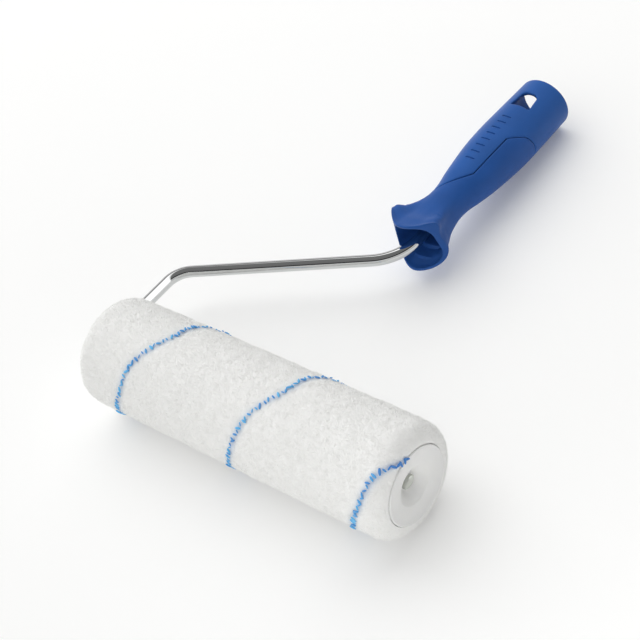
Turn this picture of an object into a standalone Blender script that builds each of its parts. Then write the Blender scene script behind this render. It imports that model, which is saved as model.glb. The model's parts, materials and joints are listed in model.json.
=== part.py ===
"""Paint roller: a wire frame bent from one rod, a moulded handle with a soft grip over it,
and a plush sleeve that spins on two end caps.

Lengths below are in millimetres and angles in degrees; MM and radians() turn them into
Blender's units.  Everything is drawn in the tool's own frame: X runs along the roller's
axis, Y from the roller to the back of the handle, Z square to the plane of the bent wire.
The empty "lying_down" then lays the finished tool on the ground."""

import math

import bmesh
import bpy

MM = 0.001
GAP = 0.3                      # clearance kept between neighbouring pieces

# Roller
SLEEVE_MIDDLE_X = -2.7         # the sleeve sits a little towards the bent side
CORE_RADIUS = 18.4
CORE_WALL = 1.5
NAP_RADIUS = 26.7
NAP_INNER_RADIUS = 18.7
NAP_FREE_END_X = 86.9          # the plush is brushed down to the cap at this end
NAP_FREE_ROUND = 7.6
NAP_BENT_END_X = -93.0
NAP_BENT_ROUND = 5.5
CAP_FACE = 91.2                # outer face of each cap's rim, from the sleeve's middle
CAP_RIM_THICKNESS = 1.5
CAP_RIM_WIDTH = 0.9
CAP_RIM_STEP = 0.5
CAP_PLUG_LENGTH = 14.0
CAP_WALL = 1.6
CAP_DISH_RADIUS = 9.2
CAP_DISH_DEPTH = 1.9
CAP_HUB_RADIUS = 6.4
CAP_HUB_DEPTH = 6.2
CAP_HUB_LENGTH = 16.0
CAP_HUB_TAPER = 0.8
TIP_RECESS_RADIUS = 4.2
TIP_RECESS_EDGE = 0.5

# Wire frame
ROD_RADIUS = 3.0
ROD_TIP_X = 84.6
LEFT_LEG_X = -100.5
LOWER_BEND_RADIUS = 9.0
SHOULDER_Y = 53.2
SHOULDER_BEND_RADIUS = 13.0
NECK_Y = 108.7
NECK_BEND_RADIUS = 25.0
ROD_END_Y = 176.0
PINCH_LENGTH = 1.8
PINCH_WIDE = 1.13
PINCH_THIN = 0.66
ROD_END_DOME = 0.5

# Handle
MOUTH_Y = 114.6
CORE_FRONT_Y = 139.0
CORE_BEVEL = 0.8
HANDLE_END_Y = 236.6
GRIP_THICKNESS = 1.7
SKIN_GAP = 0.45                # between the grip's skin and the core under it
MOUTH_WALL = 1.8
BORE_SPARE = 1.0               # left between the rod's end and the bottom of its bore
SOCKET_RADIUS = 12.6
SOCKET_BOTTOM_RADIUS = 10.9
SOCKET_BOTTOM_Y = 188.0
END_EDGE_ROUND = 1.2
HOLE_TURN = 5.0                # the hanging hole sits this far round from the top
HOLE_OUTLINE = [(-5.4, 214.2), (5.4, 214.2), (4.6, 221.8), (3.4, 224.2), (1.4, 225.5),
                (-1.4, 225.5), (-3.4, 224.2), (-4.6, 221.8)]
HOLE_MIDDLE_Y = 219.5
HOLE_CUT_LOW = 4.0
HOLE_CUT_HIGH = 22.0

# y, x and height of the middle, half width, half height, squareness, turn of the section
HANDLE_STATIONS = [
    (114.6, 2.2, 1.6, 12.4, 14.6, 3.1, -9.4),
    (118.0, 2.0, 0.9, 12.3, 14.3, 2.7, -10.0),
    (123.0, 1.4, 1.3, 11.9, 12.9, 2.5, -9.0),
    (129.0, 1.0, 1.0, 10.8, 11.4, 2.65, -7.0),
    (137.0, 0.0, 1.4, 9.9, 10.2, 2.5, -4.0),
    (146.0, -0.5, 1.5, 9.5, 9.7, 2.0, -1.0),
    (154.0, -0.5, 1.6, 9.9, 10.0, 1.95, 0.0),
    (162.0, -0.3, 1.6, 11.3, 11.2, 2.0, 0.0),
    (171.0, 0.0, 1.6, 12.6, 12.6, 2.0, 0.0),
    (181.0, 0.0, 1.4, 13.7, 13.7, 2.0, 0.0),
    (190.0, 0.0, 1.0, 14.3, 14.3, 2.0, 0.0),
    (200.0, 0.0, 0.5, 14.6, 14.6, 2.0, 0.0),
    (212.0, 0.0, 0.1, 14.5, 14.5, 2.0, 0.0),
    (224.0, 0.0, -0.2, 14.3, 14.3, 2.0, 0.0),
    (HANDLE_END_Y, 0.0, -0.5, 14.1, 14.1, 2.0, 0.0),
]
WING_ANGLE = 48.0              # where the thumb rest's wings stand out, from the top
WING_SPREAD = 15.0
WING_UNDERSIDE = 8.0
LEFT_WING_HEIGHT = 6.5
RIGHT_WING_HEIGHT = 3.3
WING_Y = 118.5
WING_FRONT = 9.4
WING_BACK = 16.2
WING_FADE = 2.4                # above 2 the wings are broad and fall off faster
MOUTH_BOW = 0.048              # how far the mouth's edge curves back at the sides, per mm

# angle from the top and y of the edge where the grip ends and the bare shell begins
GRIP_EDGE = [
    (-179.0, 204.6), (-106.0, 204.6), (-80.0, 203.4), (-66.0, 201.8), (-61.0, 199.0),
    (-60.0, 160.0), (-54.0, 152.0), (-44.0, 149.0), (-26.0, 150.2), (-6.0, 153.6),
    (10.0, 157.0), (24.0, 160.6), (35.0, 164.4), (36.0, 191.4), (43.0, 194.6),
    (52.0, 197.9), (62.0, 200.8), (76.0, 202.9), (95.0, 204.4), (112.0, 204.6),
]

WINDOW_MIDDLE = -12.0
WINDOW_GAP = 1.4               # degrees kept between the window's sides and the shell

MOUTH_RINGS = 5
SKIN_RINGS = 9
TURNED_SIDES = 40
CAP_SIDES = 32
ROD_SIDES = 16


def smooth_value(table, y, column):
    """Reads one column of the stations at y, eased between neighbours (Catmull-Rom)."""
    last = len(table) - 1
    if y <= table[0][0]:
        return table[0][column]
    if y >= table[last][0]:
        return table[last][column]
    i = max(k for k in range(last) if table[k][0] <= y)
    before = table[max(i - 1, 0)]
    start = table[i]
    end = table[i + 1]
    after = table[min(i + 2, last)]
    span = end[0] - start[0]
    t = (y - start[0]) / span
    slope_in = (end[column] - before[column]) / (end[0] - before[0]) * span
    slope_out = (after[column] - start[column]) / (after[0] - start[0]) * span
    a = 2 * t ** 3 - 3 * t ** 2 + 1
    b = t ** 3 - 2 * t ** 2 + t
    c = -2 * t ** 3 + 3 * t ** 2
    d = t ** 3 - t ** 2
    return a * start[column] + b * slope_in + c * end[column] + d * slope_out


def plain_radius(angle, y):
    """The handle's outer radius at an angle from its top, without the thumb rest."""
    half_width = smooth_value(HANDLE_STATIONS, y, 3)
    half_height = smooth_value(HANDLE_STATIONS, y, 4)
    squareness = smooth_value(HANDLE_STATIONS, y, 5)
    across = abs(math.sin(math.radians(angle)) / half_width) ** squareness
    upward = abs(math.cos(math.radians(angle)) / half_height) ** squareness
    return (across + upward) ** (-1.0 / squareness)


def wing_height(angle, y):
    """How far the thumb rest's wings stand out there.  The left one drops off crisply on
    its underside."""
    reach = WING_FRONT if y < WING_Y else WING_BACK
    fade = math.exp(-(abs(y - WING_Y) / reach) ** WING_FADE)
    spread = WING_UNDERSIDE if angle < -WING_ANGLE else WING_SPREAD
    wing = math.exp(-((abs(angle) - WING_ANGLE) / spread) ** 2)
    height = LEFT_WING_HEIGHT if angle < 0.0 else RIGHT_WING_HEIGHT
    return height * fade * wing


def handle_radius(angle, y):
    """The handle's outer radius at an angle from its top, wings included."""
    return plain_radius(angle, y) + wing_height(angle, y)


def handle_point(angle, y, radius):
    """A point of the handle from its cylinder coordinates; the mouth bows back sideways."""
    turned = math.radians(angle + smooth_value(HANDLE_STATIONS, y, 6))
    x = radius * math.sin(turned) + smooth_value(HANDLE_STATIONS, y, 1)
    z = radius * math.cos(turned) + smooth_value(HANDLE_STATIONS, y, 2)
    bow_fade = max(0.0, 1.0 - (y - MOUTH_Y) / (CORE_FRONT_Y - MOUTH_Y))
    return (x, y + MOUTH_BOW * bow_fade * x * x, z)


def grip_edge(angle, widen=0.0):
    """y of the grip's back edge at an angle from the top.  widen opens the window that the
    edge leaves on top by that many degrees at each side."""
    table = GRIP_EDGE
    angle -= math.copysign(widen, angle - WINDOW_MIDDLE)
    if angle <= table[0][0] or angle >= table[-1][0]:
        return table[0][1]
    i = max(k for k in range(len(table) - 1) if table[k][0] <= angle)
    t = (angle - table[i][0]) / (table[i + 1][0] - table[i][0])
    return table[i][1] + t * (table[i + 1][1] - table[i][1])


def handle_angles(widen=0.0):
    """Even steps round the handle, plus the corners of the grip's edge."""
    even = [-180.0 + 360.0 * k / TURNED_SIDES for k in range(TURNED_SIDES)]
    corners = [row[0] + math.copysign(widen, row[0] - WINDOW_MIDDLE)
               for row in GRIP_EDGE[3:-3]]
    kept = [a for a in even if min(abs(a - c) for c in corners) > 4.0]
    return sorted(kept + corners)


def new_object(name, mesh, material, parent):
    """Links one finished mesh as a named piece."""
    piece = bpy.data.objects.new(name, mesh)
    bpy.context.scene.collection.objects.link(piece)
    piece.parent = parent
    if material:
        mesh.materials.append(material)
    return piece


def shade_round(mesh, sharp_degrees=40.0):
    mesh.shade_smooth()
    mesh.set_sharp_from_angle(angle=math.radians(sharp_degrees))


def mesh_from_rings(name, rings, closed_loop=False):
    """Skins rings of points (mm).  A ring of one point is a pole; a closed loop of rings
    joins the last ring to the first, as on a tube with walls."""
    bm = bmesh.new()
    made = [[bm.verts.new([c * MM for c in p]) for p in ring] for ring in rings]
    pairs = list(zip(made[:-1], made[1:]))
    if closed_loop:
        pairs.append((made[-1], made[0]))
    for first, second in pairs:
        count = max(len(first), len(second))
        for k in range(count):
            n = (k + 1) % count
            if len(first) == 1:
                bm.faces.new((first[0], second[n], second[k]))
            elif len(second) == 1:
                bm.faces.new((first[k], first[n], second[0]))
            else:
                bm.faces.new((first[k], first[n], second[n], second[k]))
    bmesh.ops.recalc_face_normals(bm, faces=bm.faces)
    mesh = bpy.data.meshes.new(name)
    bm.to_mesh(mesh)
    bm.free()
    shade_round(mesh)
    return mesh


def turned_mesh(name, profile, closed_loop=True, sides=TURNED_SIDES):
    """Turns a profile of (x, radius) about the roller's axis; radius 0 is a pole."""
    rings = []
    for x, radius in profile:
        if radius == 0.0:
            rings.append([(x, 0.0, 0.0)])
            continue
        turns = [2.0 * math.pi * k / sides for k in range(sides)]
        rings.append([(x, radius * math.cos(t), radius * math.sin(t)) for t in turns])
    return mesh_from_rings(name, rings, closed_loop)


def painted(name, color, roughness, metallic=0.0):
    """A plain Principled material; colour is linear RGB."""
    material = bpy.data.materials.new(name)
    material.use_nodes = True
    shader = material.node_tree.nodes["Principled BSDF"]
    shader.inputs["Base Color"].default_value = (*color, 1.0)
    shader.inputs["Roughness"].default_value = roughness
    shader.inputs["Metallic"].default_value = metallic
    return material


def build_core(material, parent):
    """The sleeve's plastic tube."""
    half = CAP_FACE - CAP_RIM_THICKNESS - GAP
    left = SLEEVE_MIDDLE_X - half
    right = SLEEVE_MIDDLE_X + half
    inner = CORE_RADIUS - CORE_WALL
    profile = [(left, CORE_RADIUS), (right, CORE_RADIUS), (right, inner), (left, inner)]
    return new_object("sleeve_core", turned_mesh("sleeve_core", profile), material, parent)


def nap_end(end_x, length, steps=5):
    """Profile of one end of the plush: a quarter ellipse from full size down to the core."""
    drop = NAP_RADIUS - NAP_INNER_RADIUS
    inward = -math.copysign(1.0, end_x)
    points = []
    for k in range(steps + 1):
        t = math.radians(90.0 * k / steps)
        x = end_x + inward * length * (1.0 - math.sin(t))
        points.append((x, NAP_INNER_RADIUS + drop * math.cos(t)))
    return points


def build_nap(material, parent):
    """The plush cover as one plain ring with brushed-down ends."""
    profile = nap_end(NAP_BENT_END_X, NAP_BENT_ROUND)[::-1]
    profile += nap_end(NAP_FREE_END_X, NAP_FREE_ROUND)
    return new_object("nap_cover", turned_mesh("nap_cover", profile), material, parent)


def build_cap(name, side, material, parent):
    """One end cap: rim, dished web, plug wall inside the tube and a hub that is the
    bearing on the rod.  side is +1 for the free end and -1 for the bent end."""
    plug = CORE_RADIUS - CORE_WALL - GAP
    plug_inner = plug - CAP_WALL
    rim_back = CAP_FACE - CAP_RIM_THICKNESS
    plug_end = rim_back - CAP_PLUG_LENGTH
    bore = ROD_RADIUS + GAP
    hub_face = CAP_FACE - CAP_HUB_DEPTH
    hub_end = hub_face - CAP_HUB_LENGTH
    dish = CAP_FACE - CAP_DISH_DEPTH
    profile = [
        (rim_back, CORE_RADIUS), (CAP_FACE, CORE_RADIUS),
        (CAP_FACE, CORE_RADIUS - CAP_RIM_WIDTH),
        (CAP_FACE - CAP_RIM_STEP, CORE_RADIUS - CAP_RIM_WIDTH - CAP_RIM_STEP),
        (dish, CAP_DISH_RADIUS), (hub_face + TIP_RECESS_EDGE, TIP_RECESS_RADIUS + TIP_RECESS_EDGE),
        (hub_face, TIP_RECESS_RADIUS), (hub_face, bore), (hub_end, bore),
        (hub_end, CAP_HUB_RADIUS - CAP_HUB_TAPER), (hub_face - 2.0 * CAP_WALL, CAP_HUB_RADIUS),
        (dish - CAP_WALL, CAP_DISH_RADIUS + CAP_WALL / 2.0), (rim_back - CAP_WALL, plug_inner),
        (plug_end, plug_inner), (plug_end, plug), (rim_back, plug),
    ]
    placed = [(SLEEVE_MIDDLE_X + side * x, radius) for x, radius in profile]
    return new_object(name, turned_mesh(name, placed, sides=CAP_SIDES), material, parent)


def bend(corner, before, after, radius, steps=8):
    """Points of a bend of the rod: from the straight before the corner to the one after.
    before and after are unit vectors of travel in the XY plane."""
    turn = math.acos(before[0] * after[0] + before[1] * after[1])
    trim = radius * math.tan(turn / 2.0)
    hand = math.copysign(1.0, before[0] * after[1] - before[1] * after[0])
    start = (corner[0] - before[0] * trim, corner[1] - before[1] * trim)
    centre = (start[0] - hand * before[1] * radius, start[1] + hand * before[0] * radius)
    points = []
    for k in range(steps + 1):
        t = hand * turn * k / steps
        dx = start[0] - centre[0]
        dy = start[1] - centre[1]
        x = centre[0] + dx * math.cos(t) - dy * math.sin(t)
        y = centre[1] + dx * math.sin(t) + dy * math.cos(t)
        points.append((x, y))
    return points


def rod_path():
    """The rod's centre line from its tip in the outer cap to its end in the handle."""
    rise = (0.0 - LEFT_LEG_X, NECK_Y - SHOULDER_Y)
    length = math.hypot(*rise)
    slope = (rise[0] / length, rise[1] / length)
    path = [(ROD_TIP_X, 0.0), (ROD_TIP_X - PINCH_LENGTH, 0.0)]
    path += [(ROD_TIP_X - 2.0 * PINCH_LENGTH, 0.0), (0.0, 0.0)]
    path += bend((LEFT_LEG_X, 0.0), (-1.0, 0.0), (0.0, 1.0), LOWER_BEND_RADIUS)
    path += bend((LEFT_LEG_X, SHOULDER_Y), (0.0, 1.0), slope, SHOULDER_BEND_RADIUS)
    path += bend((0.0, NECK_Y), slope, (0.0, 1.0), NECK_BEND_RADIUS)
    path += [(0.0, ROD_END_Y)]
    return path


def build_rod(material, parent):
    """The bent steel rod; its tip is pinched oval so that it can't be drawn back out."""
    path = rod_path()
    rings = []
    for i, (x, y) in enumerate(path):
        before = path[max(i - 1, 0)]
        after = path[min(i + 1, len(path) - 1)]
        length = math.hypot(after[0] - before[0], after[1] - before[1])
        side = ((before[1] - after[1]) / length, (after[0] - before[0]) / length)
        wide = PINCH_WIDE if i < 2 else 1.0
        thin = PINCH_THIN if i < 2 else 1.0
        ring = []
        for k in range(ROD_SIDES):
            t = 2.0 * math.pi * (k + 0.5) / ROD_SIDES
            across = ROD_RADIUS * wide * math.cos(t)
            up = ROD_RADIUS * thin * math.sin(t)
            ring.append((x + side[0] * across, y + side[1] * across, up))
        rings.append(ring)
    rings.insert(0, [(ROD_TIP_X + ROD_END_DOME, 0.0, 0.0)])
    rings.append([(0.0, ROD_END_Y + ROD_END_DOME, 0.0)])
    return new_object("wire_frame", mesh_from_rings("wire_frame", rings), material, parent)


def grip_heights(angle, widen=0.0, set_back=0.0):
    """y of the grip's rings at an angle: the mouth first, then the skin over the core."""
    edge = grip_edge(angle, widen) + set_back
    mouth = [MOUTH_Y + k * (CORE_FRONT_Y - MOUTH_Y) / MOUTH_RINGS for k in range(MOUTH_RINGS)]
    return mouth + [CORE_FRONT_Y + k * (edge - CORE_FRONT_Y) / SKIN_RINGS
                    for k in range(SKIN_RINGS + 1)]


def grip_wall(y):
    """Wall thickness of the grip: the mouth's wall in front, the thin skin behind."""
    t = min((y - MOUTH_Y) / (CORE_FRONT_Y - MOUTH_Y), 1.0)
    return MOUTH_WALL + t * (GRIP_THICKNESS - MOUTH_WALL)


def build_grip(material, parent):
    """The soft grip: the flared mouth with its thumb rest, and the skin over the neck
    and sides.  Each ring of points runs round the handle; its back edge follows
    grip_edge, and the mouth's pocket is its hollow front.  The wings are solid."""
    columns = [(a, grip_heights(a, WINDOW_GAP, -GAP / 2.0)) for a in handle_angles(WINDOW_GAP)]
    outer = []
    inner = []
    for k in range(MOUTH_RINGS + SKIN_RINGS + 1):
        outer.append([handle_point(a, ys[k], handle_radius(a, ys[k])) for a, ys in columns])
        inner.append([handle_point(a, ys[k], plain_radius(a, ys[k]) - grip_wall(ys[k]))
                      for a, ys in columns])
    mesh = mesh_from_rings("soft_grip", outer + inner[::-1], closed_loop=True)
    return new_object("soft_grip", mesh, material, parent)


def build_shell(material, parent):
    """The hard inner moulding: a core with the rod's bore in front, stepped up to full
    size behind the grip, and a hollow back that takes an extension pole."""
    angles = handle_angles()
    under = GRIP_THICKNESS + SKIN_GAP
    bore = ROD_RADIUS + GAP
    bore_end = ROD_END_Y + BORE_SPARE
    rings = [[(0.0, bore_end, 0.0)]]
    for y in (bore_end, CORE_FRONT_Y):
        rings.append([(bore * math.sin(math.radians(a)), y, bore * math.cos(math.radians(a)))
                      for a in angles])
    front = under + CORE_BEVEL
    rings.append([handle_point(a, CORE_FRONT_Y, plain_radius(a, CORE_FRONT_Y) - front)
                  for a in angles])
    columns = [(a, grip_heights(a, 0.0, GAP / 2.0)) for a in angles]
    for k in range(MOUTH_RINGS, MOUTH_RINGS + SKIN_RINGS + 1):
        set_back = CORE_BEVEL / 2.0 if k == MOUTH_RINGS else 0.0
        rings.append([handle_point(a, ys[k] + set_back, plain_radius(a, ys[k]) - under)
                      for a, ys in columns])
    tail_end = HANDLE_END_Y - END_EDGE_ROUND
    for part in (0.0, 0.25, 0.5, 0.75, 1.0):
        ring = []
        for angle in angles:
            start = grip_edge(angle) + GAP / 2.0
            y = start + part * (tail_end - start)
            ring.append(handle_point(angle, y, handle_radius(angle, y)))
        rings.append(ring)
    end_radius = handle_radius(0.0, HANDLE_END_Y) - END_EDGE_ROUND
    back = [(HANDLE_END_Y, end_radius), (HANDLE_END_Y, SOCKET_RADIUS),
            (SOCKET_BOTTOM_Y, SOCKET_BOTTOM_RADIUS)]
    for y, radius in back:
        rings.append([handle_point(a, y, radius) for a in angles])
    rings.append([handle_point(0.0, SOCKET_BOTTOM_Y, 0.0)])
    piece = new_object("handle_shell", mesh_from_rings("handle_shell", rings), material, parent)
    cut = piece.modifiers.new("hanging_hole", "BOOLEAN")
    cut.object = hanging_hole_cutter(parent)
    return piece


def hanging_hole_cutter(parent):
    """A block with a straight front and an arched back, cutting the top wall only."""
    turn = math.radians(HOLE_TURN)
    rings = []
    middles = []
    for height in (HOLE_CUT_LOW, HOLE_CUT_HIGH):
        rings.append([(x * math.cos(turn) + height * math.sin(turn), y,
                       height * math.cos(turn) - x * math.sin(turn)) for x, y in HOLE_OUTLINE])
        middles.append([(height * math.sin(turn), HOLE_MIDDLE_Y, height * math.cos(turn))])
    rings = [middles[0]] + rings + [middles[1]]
    mesh = mesh_from_rings("hanging_hole_cutter", rings)
    cutter = new_object("hanging_hole_cutter", mesh, None, parent)
    cutter.hide_render = True
    cutter.display_type = "WIRE"
    return cutter


def lying_down():
    """The empty that lays the tool on its nap and on the back end of its handle."""
    end_y = HANDLE_END_Y - END_EDGE_ROUND
    end_low = handle_point(180.0, end_y, handle_radius(180.0, end_y))[2]
    tilt = math.asin(NAP_RADIUS / math.hypot(end_y, end_low)) - math.atan2(-end_low, end_y)
    rim_top = handle_point(0.0, HANDLE_END_Y, handle_radius(0.0, HANDLE_END_Y) - END_EDGE_ROUND)
    back = rim_top[1] * math.cos(tilt) + rim_top[2] * math.sin(tilt)
    empty = bpy.data.objects.new("lying_down", None)
    bpy.context.scene.collection.objects.link(empty)
    empty.rotation_euler = (-tilt, 0.0, 0.0)
    left = LEFT_LEG_X - ROD_RADIUS
    right = SLEEVE_MIDDLE_X + CAP_FACE
    empty.location = (-(left + right) / 2.0 * MM, -(back - NAP_RADIUS) / 2.0 * MM,
                      NAP_RADIUS * MM)
    return empty


def main():
    for old in list(bpy.data.objects):
        bpy.data.objects.remove(old)
    white_plastic = painted("natural_polypropylene", (0.78, 0.78, 0.76), 0.45)
    plush = painted("white_plush", (0.82, 0.82, 0.80), 0.95)
    steel = painted("chromed_steel", (0.75, 0.75, 0.76), 0.08, 1.0)
    hard_blue = painted("blue_polypropylene", (0.030, 0.095, 0.340), 0.50)
    soft_blue = painted("blue_elastomer", (0.028, 0.088, 0.320), 0.60)
    stand = lying_down()
    axle = bpy.data.objects.new("roller_axis", None)
    bpy.context.scene.collection.objects.link(axle)
    axle.parent = stand
    build_core(white_plastic, axle)
    build_nap(plush, axle)
    build_cap("outer_end_cap", 1.0, white_plastic, axle)
    build_cap("inner_end_cap", -1.0, white_plastic, axle)
    build_rod(steel, stand)
    build_shell(hard_blue, stand)
    build_grip(soft_blue, stand)


main()
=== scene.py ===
"""A paint roller lying on its nap and on the end of its handle, on a pale lit table.

The sections follow the tool as it is put together: the bent rod, the hard handle moulded
round it, the soft grip over that, then the sleeve with its two caps, its plush and the
marker yarn.  Lengths are in millimetres in the tool's own frame: X along the roller's
axis, Y from the roller to the back of the handle, Z square to the bent wire's plane."""

import json
import math

import bmesh
import bpy
import numpy as np
from mathutils import Matrix, Vector, kdtree, noise


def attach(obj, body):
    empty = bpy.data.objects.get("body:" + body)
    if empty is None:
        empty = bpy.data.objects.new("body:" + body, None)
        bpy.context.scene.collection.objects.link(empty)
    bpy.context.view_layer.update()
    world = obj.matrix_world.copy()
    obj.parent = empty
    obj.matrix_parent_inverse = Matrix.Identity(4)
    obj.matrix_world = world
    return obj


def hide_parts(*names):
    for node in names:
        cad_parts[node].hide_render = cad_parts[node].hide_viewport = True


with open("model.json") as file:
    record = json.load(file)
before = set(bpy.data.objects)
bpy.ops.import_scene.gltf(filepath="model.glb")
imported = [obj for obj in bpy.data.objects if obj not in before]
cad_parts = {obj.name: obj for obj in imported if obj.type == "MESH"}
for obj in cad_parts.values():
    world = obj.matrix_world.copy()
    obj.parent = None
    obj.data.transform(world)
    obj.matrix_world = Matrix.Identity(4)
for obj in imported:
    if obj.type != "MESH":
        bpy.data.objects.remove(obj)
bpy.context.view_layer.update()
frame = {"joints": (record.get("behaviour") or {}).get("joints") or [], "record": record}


# ---- Wire frame ------------------------------------------------------------------------
# One 6 mm mild steel rod, bent cold in three places and chromium plated.  One end is
# moulded into the handle; the other is the roller's axle, and its tip is pinched flat so
# that the end cap can't slide off.

MM = 0.001
ROLLER_AXIS = Vector(frame["joints"][0]["axis"]).normalized()
HANDLE_AXIS = Vector(frame["record"]["mounts"][0]["axis"]).normalized()
AXES = Matrix((ROLLER_AXIS, HANDLE_AXIS, ROLLER_AXIS.cross(HANDLE_AXIS))).transposed()
TOOL = Matrix.Translation(frame["joints"][0]["pos_m"]) @ AXES.to_4x4()

ROD_RADIUS = 3.0
ROD_SIDES = 40
BEND_STEPS = 24
ROD_TIP_X = 84.6
LEFT_LEG_X = -100.5
LOWER_BEND_RADIUS = 9.0
SHOULDER_Y = 53.2
SHOULDER_BEND_RADIUS = 13.0
NECK_Y = 108.7
NECK_BEND_RADIUS = 25.0
ROD_END_Y = 176.0
ROD_END_DOME = 0.5
PINCH_LENGTH = 3.6
PINCH_TURN = 20.0
PINCH_WIDE = 1.2
PINCH_THIN = 0.78
PINCH_LENS = 0.35              # how much thinner the pinched tip is at its two edges
BARE_TIP = 1.6                 # length of the tip where the plating is broken
TIP_CHAMFER = 0.5
TIP_NARROWING = (0.13, 0.2)    # of the chamfer, across the wide and the thin way


def to_world(points):
    """Points in the tool's frame, in mm, as world points in metres."""
    turn = np.array(TOOL.to_3x3())
    return np.asarray(points, float) * MM @ turn.T + np.array(TOOL.translation)


def to_tool(points):
    """World points in metres as points in the tool's frame, in mm."""
    turn = np.array(TOOL.to_3x3())
    return (np.asarray(points, float) - np.array(TOOL.translation)) @ turn / MM


def linear(code):
    """An sRGB hex colour as linear RGBA."""
    shares = [int(code[k:k + 2], 16) / 255.0 for k in (1, 3, 5)]
    bent = [s / 12.92 if s <= 0.04045 else ((s + 0.055) / 1.055) ** 2.4 for s in shares]
    return (*bent, 1.0)


def add(tree, kind, links=None, **settings):
    """Adds a node.  links gives its inputs, each a plain value or another node's output."""
    node = tree.nodes.new(kind)
    for key, value in settings.items():
        setattr(node, key, value)
    for key, value in (links or {}).items():
        if isinstance(value, bpy.types.NodeSocket):
            tree.links.new(value, node.inputs[key])
        else:
            node.inputs[key].default_value = value
    return node


def new_material(name):
    """A material with its node tree and its Principled shader."""
    material = bpy.data.materials.new(name)
    material.use_nodes = True
    return material, material.node_tree, material.node_tree.nodes["Principled BSDF"]


def speckle(tree, size, detail=2.0):
    """Soft noise with blots of about size millimetres, fixed to the piece."""
    place = add(tree, "ShaderNodeTexCoord").outputs["Object"]
    return add(tree, "ShaderNodeTexNoise", {"Vector": place, "Scale": 1.0 / (size * MM),
                                            "Detail": detail}).outputs["Fac"]


def remap(tree, value, low, high, at_low, at_high):
    """A number that runs from at_low to at_high as the value goes from low to high."""
    return add(tree, "ShaderNodeMapRange", {"Value": value, "From Min": low, "From Max": high,
                                            "To Min": at_low, "To Max": at_high}).outputs[0]


def emboss(tree, shader, height, strength, depth):
    """Raises a shader's surface by a pattern, up to depth millimetres."""
    bump = add(tree, "ShaderNodeBump", {"Height": height, "Strength": strength,
                                        "Distance": depth * MM})
    tree.links.new(bump.outputs["Normal"], shader.inputs["Normal"])


def new_tree(name, sizes):
    """An empty Geometry Nodes tree with a geometry input and these named inputs."""
    tree = bpy.data.node_groups.new(name, "GeometryNodeTree")
    tree.interface.new_socket("Geometry", in_out="INPUT", socket_type="NodeSocketGeometry")
    for label, kind in sizes:
        tree.interface.new_socket(label, in_out="INPUT", socket_type="NodeSocket" + kind)
    tree.interface.new_socket("Geometry", in_out="OUTPUT", socket_type="NodeSocketGeometry")
    return tree, tree.nodes.new("NodeGroupInput").outputs


def deliver(tree, geometry, finish):
    """Ends a Geometry Nodes tree: its result gets the material and goes out."""
    made = add(tree, "GeometryNodeSetMaterial", {"Geometry": geometry, "Material": finish})
    add(tree, "NodeGroupOutput", {"Geometry": made.outputs["Geometry"]})


def baked(piece, name):
    """A new mesh of the piece with its modifiers worked in."""
    depsgraph = bpy.context.evaluated_depsgraph_get()
    mesh = bpy.data.meshes.new_from_object(piece.evaluated_get(depsgraph), depsgraph=depsgraph)
    mesh.name = name
    return mesh


def weld(mesh, distance, crease, dome=0.0):
    """Joins points within distance mm, domes the faces of many sides, turns all faces
    outward, and shades smooth but for edges sharper than crease degrees."""
    bm = bmesh.new()
    bm.from_mesh(mesh)
    bmesh.ops.remove_doubles(bm, verts=bm.verts, dist=distance * MM)
    if dome:
        ends = [f for f in bm.faces if len(f.verts) > 4]
        bmesh.ops.poke(bm, faces=ends, offset=dome * MM)
    bmesh.ops.recalc_face_normals(bm, faces=bm.faces)
    bm.to_mesh(mesh)
    bm.free()
    mesh.shade_smooth()
    mesh.set_sharp_from_angle(angle=math.radians(crease))


def grow(source, tree, values, name):
    """Runs a Geometry Nodes tree on an object and returns the result as a plain piece."""
    modifier = source.modifiers.new(tree.name, "NODES")
    modifier.node_group = tree
    for item in tree.interface.items_tree:
        if item.in_out == "INPUT" and item.name in values:
            modifier[item.identifier] = values[item.name]
    mesh = baked(source, name)
    source.modifiers.remove(modifier)
    return link(name, mesh)


def link(name, data):
    """A new object in the scene with this mesh, curve, lamp or camera."""
    piece = bpy.data.objects.new(name, data)
    bpy.context.scene.collection.objects.link(piece)
    return piece


def settle(piece, body, slot, *nodes):
    """Fixes a finished piece to its CAD body, in place of the nodes that it stands for."""
    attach(piece, body)
    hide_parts(*nodes)


def bend(corner, before, after, radius):
    """Points of a bend from the straight before the corner to the one after it."""
    turn = math.acos(before[0] * after[0] + before[1] * after[1])
    hand = math.copysign(1.0, before[0] * after[1] - before[1] * after[0])
    trim = radius * math.tan(turn / 2.0)
    start = np.array(corner) - trim * np.array(before)
    centre = start + hand * radius * np.array((-before[1], before[0]))
    arm = start - centre
    points = []
    for k in range(BEND_STEPS + 1):
        t = hand * turn * k / BEND_STEPS
        points.append((centre[0] + arm[0] * math.cos(t) - arm[1] * math.sin(t),
                       centre[1] + arm[0] * math.sin(t) + arm[1] * math.cos(t)))
    return points


def rod_path():
    """The rod's centre line, from the pinched tip to the end inside the handle."""
    rise = np.array((-LEFT_LEG_X, NECK_Y - SHOULDER_Y))
    slope = tuple(rise / np.hypot(*rise))
    path = [(ROD_TIP_X - step, 0.0) for step in (0.0, 0.5, 1.0, 1.8, 2.7, PINCH_LENGTH, 6.0)]
    path += bend((LEFT_LEG_X, 0.0), (-1.0, 0.0), (0.0, 1.0), LOWER_BEND_RADIUS)
    path += bend((LEFT_LEG_X, SHOULDER_Y), (0.0, 1.0), slope, SHOULDER_BEND_RADIUS)
    path += bend((0.0, NECK_Y), slope, (0.0, 1.0), NECK_BEND_RADIUS)
    path.append((0.0, ROD_END_Y))
    return [(x, y, 0.0) for x, y in path]


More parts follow.
